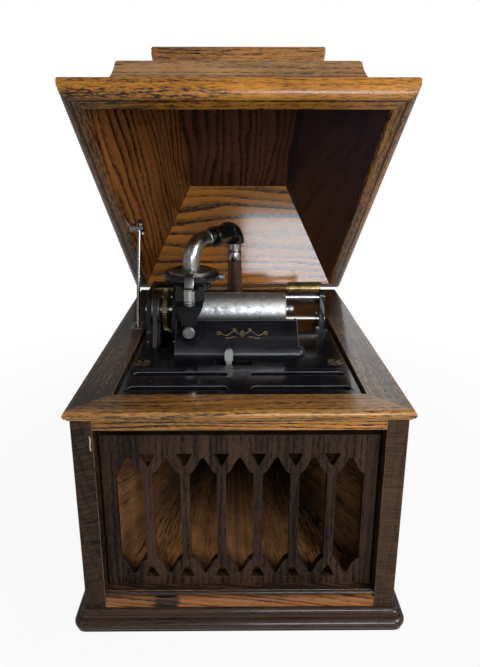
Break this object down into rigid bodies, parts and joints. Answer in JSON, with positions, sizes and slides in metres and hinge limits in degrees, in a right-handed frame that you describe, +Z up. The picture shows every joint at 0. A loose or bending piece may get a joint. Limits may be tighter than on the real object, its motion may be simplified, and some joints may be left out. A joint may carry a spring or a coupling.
{
  "type": "cylinder phonograph",
  "caption": "Table-top cylinder phonograph: oak cabinet with a Gothic grille over an inside horn, hipped lid on a stay, and a belt-driven mandrel with sliding reproducer.",
  "frame": {"origin": "centre of the base's underside, on the table", "axes": "+Z up, -Y towards the front with the grille, +X towards the winding shaft's side; the lid is open at rest"},
  "size_m": [0.34, 0.4694, 0.5783],
  "materials": {
    "golden_oak": "clear varnish over golden oak",
    "dark_oak": "varnish over dark fumed oak",
    "black_enamel": "gloss baked enamel on cast iron",
    "nickel": "worn bright nickel plate",
    "brass": "aged satin",
    "iron": "oiled",
    "belt_leather": "worn",
    "brown_enamel": "gloss brown enamel"
  },
  "bodies": {
    "cabinet": {"base_moulding": "dark_oak", "bottom_board": "dark_oak", "corner_posts": "dark_oak", "side_panel_left": "dark_oak", "side_panel_right": "dark_oak", "back_panel": "dark_oak", "top_rail": "golden_oak", "bottom_rail": "golden_oak", "rim_frame": "golden_oak", "grille_panel": "dark_oak", "horn_board": "dark_oak", "horn_sides": "golden_oak", "horn_decks": "golden_oak", "horn_elbow": "iron", "bed_cleats": "dark_oak", "bedplate": "black_enamel", "vent_plate": "black_enamel", "body_casting": "black_enamel", "left_standard": "black_enamel", "right_standard": "black_enamel", "guide_rod": "nickel", "tone_post": "brown_enamel", "belt": "belt_leather", "motor_plate_left": "iron", "motor_plate_right": "iron", "motor_pillars": "iron", "hinge_leaves": "brass", "hinge_pins": "brass", "stay_guide": "nickel", "crank_escutcheon": "brass"},
    "lid": {"lid_rim": "golden_oak", "lid_tier": "golden_oak", "lid_cap": "golden_oak", "lid_side_panels": "golden_oak", "lid_end_panels": "golden_oak", "lid_ceiling": "golden_oak", "lid_hinge_leaves": "brass", "stay_bracket": "nickel"},
    "lid_stay": {"stay_rod": "nickel"},
    "mandrel": {"mandrel": "nickel", "mandrel_gear": "brass", "mandrel_pulley": "iron"},
    "feed_screw": {"feed_screw": "nickel", "feed_gear": "brass"},
    "carriage": {"carriage": "black_enamel", "reproducer_body": "black_enamel", "reproducer_face": "nickel", "reproducer_weight": "iron", "barrel_post": "nickel"},
    "lift_knob": {"lift_knob": "nickel"},
    "neck": {"neck": "nickel"},
    "tone_arm": {"tone_elbow": "black_enamel", "tone_collar": "nickel"},
    "start_lever": {"start_lever": "nickel"},
    "spring_barrel": {"spring_barrel": "iron"},
    "second_arbor": {"second_arbor": "brass"},
    "pulley_arbor": {"pulley_arbor": "brass"},
    "governor": {"governor": "brass"},
    "winding_shaft": {"winding_shaft": "iron"},
    "winding_gear": {"winding_gear": "iron"}
  },
  "joints": [
    {"name": "lid_hinge", "type": "hinge", "parent": "cabinet", "child": "lid", "pos_m": [0, 0.2155, 0.2403], "axis": [1, 0, 0], "range_deg": [0, 39.2]},
    {"name": "stay_pivot", "type": "hinge", "parent": "lid", "child": "lid_stay", "pos_m": [-0.133, 0.07698, 0.36141], "axis": [1, 0, 0], "range_deg": [-19.6, 0]},
    {"name": "carriage_slide", "type": "slide", "parent": "cabinet", "child": "carriage", "axis": [1, 0, 0], "range_m": [0, 0.105]},
    {"name": "lift_turn", "type": "hinge", "parent": "carriage", "child": "lift_knob", "pos_m": [-0.058, -0.056, 0.26], "axis": [0, 1, 0], "range_deg": [0, 90]},
    {"name": "neck_swivel", "type": "hinge", "parent": "carriage", "child": "neck", "pos_m": [-0.058, 0.002, 0.3218], "axis": [0, 0, 1], "range_deg": [0, 54.05]},
    {"name": "tone_swing", "type": "hinge", "parent": "cabinet", "child": "tone_arm", "pos_m": [-0.005, 0.105, 0.33], "axis": [0, 0, 1], "range_deg": [0, 54.05]},
    {"name": "start_swing", "type": "hinge", "parent": "cabinet", "child": "start_lever", "pos_m": [-0.006, -0.025, 0.228], "axis": [0, 0, 1], "range_deg": [-10, 20]},
    {"name": "mandrel_turn", "type": "hinge", "parent": "cabinet", "child": "mandrel", "pos_m": [0, 0, 0.271], "axis": [1, 0, 0], "continuous": true},
    {"name": "feed_turn", "type": "hinge", "parent": "cabinet", "child": "feed_screw", "pos_m": [0, 0.036, 0.247], "axis": [1, 0, 0], "continuous": true},
    {"name": "pulley_turn", "type": "hinge", "parent": "cabinet", "child": "pulley_arbor", "pos_m": [0, -0.03695, 0.1817], "axis": [1, 0, 0], "continuous": true},
    {"name": "second_turn", "type": "hinge", "parent": "cabinet", "child": "second_arbor", "pos_m": [0, -0.0009, 0.19203], "axis": [1, 0, 0], "continuous": true},
    {"name": "barrel_turn", "type": "hinge", "parent": "cabinet", "child": "spring_barrel", "pos_m": [0, 0.045, 0.178], "axis": [1, 0, 0], "continuous": true},
    {"name": "governor_turn", "type": "hinge", "parent": "cabinet", "child": "governor", "pos_m": [0, -0.06689, 0.18972], "axis": [1, 0, 0], "continuous": true},
    {"name": "winding_turn", "type": "hinge", "parent": "cabinet", "child": "winding_shaft", "pos_m": [0, 0.06896, 0.15995], "axis": [1, 0, 0], "continuous": true},
    {"name": "winding_gear_turn", "type": "hinge", "parent": "cabinet", "child": "winding_gear", "pos_m": [0, 0.045, 0.178], "axis": [1, 0, 0], "continuous": true}
  ],
  "couplings": [
    {"joint": "stay_pivot", "follows": "lid_hinge", "ratio": -0.5},
    {"joint": "neck_swivel", "follows": "carriage_slide", "rad_per_m": 8.979},
    {"joint": "tone_swing", "follows": "carriage_slide", "rad_per_m": 8.979},
    {"joint": "feed_turn", "follows": "mandrel_turn", "ratio": -1.4706},
    {"joint": "pulley_turn", "follows": "mandrel_turn", "ratio": 1.3333},
    {"joint": "second_turn", "follows": "mandrel_turn", "ratio": -0.33333},
    {"joint": "barrel_turn", "follows": "mandrel_turn", "ratio": 0.066667},
    {"joint": "governor_turn", "follows": "mandrel_turn", "ratio": -4.5714},
    {"joint": "winding_gear_turn", "follows": "winding_turn", "ratio": -0.5}
  ]
}
